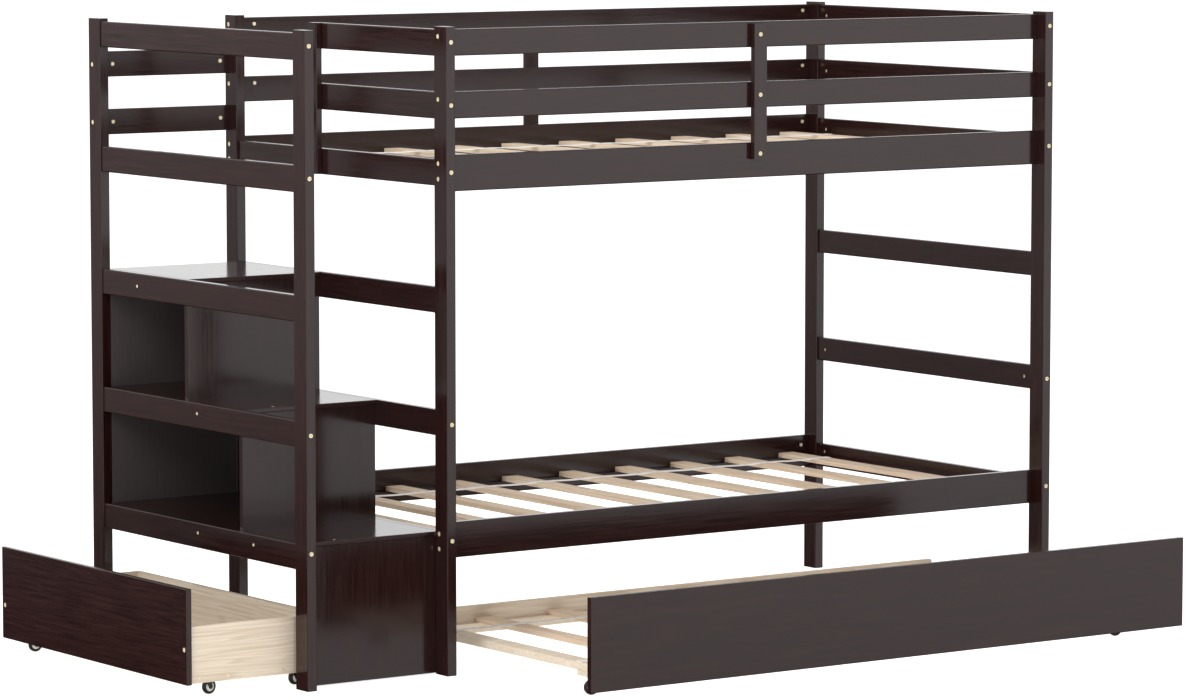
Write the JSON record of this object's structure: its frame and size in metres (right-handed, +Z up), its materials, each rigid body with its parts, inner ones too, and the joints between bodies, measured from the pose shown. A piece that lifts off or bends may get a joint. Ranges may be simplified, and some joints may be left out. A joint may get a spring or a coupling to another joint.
{
  "type": "bunk bed with ladder",
  "caption": "Wooden twin-over-twin bunk bed with a staircase of open cubbies, a drawer under the stairs and a pull-out trundle bed on swivel casters.",
  "frame": {"origin": "on the floor, at the middle of the footprint with the drawer and the trundle pulled out as stored", "axes": "+X along the bed from the stairs to the far end, +Y from the front to the rear, +Z up"},
  "size_m": [2.712, 1.685, 1.65],
  "materials": {
    "espresso_wood": "espresso semi-gloss paint on pine",
    "pine": "sanded, unfinished pine",
    "webbing": "woven polyester tape",
    "zinc_bolt": "yellow zinc plate",
    "steel_plate": "bright zinc plate",
    "caster_steel": "black enamel",
    "caster_wheel": "moulded rubber tyre on a pale nylon hub"
  },
  "bodies": {
    "bed_frame": {"stair_post_front": "espresso_wood", "stair_post_rear": "espresso_wood", "left_post_front": "espresso_wood", "left_post_rear": "espresso_wood", "right_post_front": "espresso_wood", "right_post_rear": "espresso_wood", "front_guard_rails": "espresso_wood", "rear_guard_rails": "espresso_wood", "front_upper_rail": "espresso_wood", "front_lower_rail": "espresso_wood", "rear_upper_rail": "espresso_wood", "rear_lower_rail": "espresso_wood", "left_end_rails": "espresso_wood", "right_end_rails": "espresso_wood", "entry_guard_rails": "espresso_wood", "stair_outer_rails": "espresso_wood", "stair_rear_rails": "espresso_wood", "guard_supports": "espresso_wood", "bed_ledgers": "espresso_wood", "tread_1": "espresso_wood", "tread_2": "espresso_wood", "tread_3": "espresso_wood", "riser_1": "espresso_wood", "riser_2": "espresso_wood", "riser_3": "espresso_wood", "cubby_panels": "espresso_wood", "cubby_shelves": "espresso_wood", "stair_cleats": "espresso_wood", "upper_slats": "pine", "lower_slats": "pine", "slat_straps": "webbing", "frame_bolts": "zinc_bolt", "barrel_nuts": "zinc_bolt", "stair_screws": "zinc_bolt"},
    "stair_drawer": {"drawer_front": "espresso_wood", "drawer_box": "pine", "drawer_bottom": "pine", "drawer_hardware": "steel_plate"},
    "trundle": {"trundle_front": "espresso_wood", "trundle_frame": "pine", "trundle_ledgers": "pine", "trundle_slats": "pine", "trundle_strap": "webbing", "trundle_hardware": "steel_plate"},
    "drawer_left_fork": {"drawer_left_caster_fork": "caster_steel"},
    "drawer_left_wheel": {"drawer_left_caster_wheel": "caster_wheel"},
    "drawer_right_fork": {"drawer_right_caster_fork": "caster_steel"},
    "drawer_right_wheel": {"drawer_right_caster_wheel": "caster_wheel"},
    "drawer_rear_left_fork": {"drawer_rear_left_caster_fork": "caster_steel"},
    "drawer_rear_left_wheel": {"drawer_rear_left_caster_wheel": "caster_wheel"},
    "drawer_rear_right_fork": {"drawer_rear_right_caster_fork": "caster_steel"},
    "drawer_rear_right_wheel": {"drawer_rear_right_caster_wheel": "caster_wheel"},
    "trundle_left_fork": {"trundle_left_caster_fork": "caster_steel"},
    "trundle_left_wheel": {"trundle_left_caster_wheel": "caster_wheel"},
    "trundle_right_fork": {"trundle_right_caster_fork": "caster_steel"},
    "trundle_right_wheel": {"trundle_right_caster_wheel": "caster_wheel"},
    "trundle_rear_left_fork": {"trundle_rear_left_caster_fork": "caster_steel"},
    "trundle_rear_left_wheel": {"trundle_rear_left_caster_wheel": "caster_wheel"},
    "trundle_rear_right_fork": {"trundle_rear_right_caster_fork": "caster_steel"},
    "trundle_rear_right_wheel": {"trundle_rear_right_caster_wheel": "caster_wheel"}
  },
  "joints": [
    {"name": "drawer_slide", "type": "slide", "parent": "bed_frame", "child": "stair_drawer", "axis": [1, 0, 0], "range_m": [-0.11, 0.307]},
    {"name": "trundle_slide", "type": "slide", "parent": "bed_frame", "child": "trundle", "axis": [0, 1, 0], "range_m": [-0.38, 0.595]},
    {"name": "drawer_left_swivel", "type": "hinge", "parent": "stair_drawer", "child": "drawer_left_fork", "pos_m": [-1.274, -0.1315, 0.042], "axis": [0, 0, 1], "continuous": true},
    {"name": "drawer_left_axle", "type": "hinge", "parent": "drawer_left_fork", "child": "drawer_left_wheel", "pos_m": [-1.26014, -0.12955, 0.019], "axis": [-0.1392, 0.9903, 0], "continuous": true},
    {"name": "drawer_right_swivel", "type": "hinge", "parent": "stair_drawer", "child": "drawer_right_fork", "pos_m": [-1.274, 0.7105, 0.042], "axis": [0, 0, 1], "continuous": true},
    {"name": "drawer_right_axle", "type": "hinge", "parent": "drawer_right_fork", "child": "drawer_right_wheel", "pos_m": [-1.28797, 0.71148, 0.019], "axis": [-0.0698, -0.9976, 0], "continuous": true},
    {"name": "drawer_rear_left_swivel", "type": "hinge", "parent": "stair_drawer", "child": "drawer_rear_left_fork", "pos_m": [-1.022, -0.1315, 0.042], "axis": [0, 0, 1], "continuous": true},
    {"name": "drawer_rear_left_axle", "type": "hinge", "parent": "drawer_rear_left_fork", "child": "drawer_rear_left_wheel", "pos_m": [-1.00842, -0.12811, 0.019], "axis": [-0.2419, 0.9703, 0], "continuous": true},
    {"name": "drawer_rear_right_swivel", "type": "hinge", "parent": "stair_drawer", "child": "drawer_rear_right_fork", "pos_m": [-1.022, 0.7105, 0.042], "axis": [0, 0, 1], "continuous": true},
    {"name": "drawer_rear_right_axle", "type": "hinge", "parent": "drawer_rear_right_fork", "child": "drawer_rear_right_wheel", "pos_m": [-1.00808, 0.70904, 0.019], "axis": [0.1045, 0.9945, 0], "continuous": true},
    {"name": "trundle_left_swivel", "type": "hinge", "parent": "trundle", "child": "trundle_left_fork", "pos_m": [-0.474, -0.6915, 0.042], "axis": [0, 0, 1], "continuous": true},
    {"name": "trundle_left_axle", "type": "hinge", "parent": "trundle_left_fork", "child": "trundle_left_wheel", "pos_m": [-0.48731, -0.68717, 0.019], "axis": [-0.309, -0.9511, 0], "continuous": true},
    {"name": "trundle_right_swivel", "type": "hinge", "parent": "trundle", "child": "trundle_right_fork", "pos_m": [1.202, -0.6915, 0.042], "axis": [0, 0, 1], "continuous": true},
    {"name": "trundle_right_axle", "type": "hinge", "parent": "trundle_right_fork", "child": "trundle_right_wheel", "pos_m": [1.20609, -0.70489, 0.019], "axis": [0.9563, 0.2924, 0], "continuous": true},
    {"name": "trundle_rear_left_swivel", "type": "hinge", "parent": "trundle", "child": "trundle_rear_left_fork", "pos_m": [-0.474, 0.0465, 0.042], "axis": [0, 0, 1], "continuous": true},
    {"name": "trundle_rear_left_axle", "type": "hinge", "parent": "trundle_rear_left_fork", "child": "trundle_rear_left_wheel", "pos_m": [-0.48057, 0.05886, 0.019], "axis": [-0.8829, -0.4695, 0], "continuous": true},
    {"name": "trundle_rear_right_swivel", "type": "hinge", "parent": "trundle", "child": "trundle_rear_right_fork", "pos_m": [1.202, 0.0465, 0.042], "axis": [0, 0, 1], "continuous": true},
    {"name": "trundle_rear_right_axle", "type": "hinge", "parent": "trundle_rear_right_fork", "child": "trundle_rear_right_wheel", "pos_m": [1.20586, 0.05996, 0.019], "axis": [-0.9613, 0.2756, 0], "continuous": true}
  ]
}
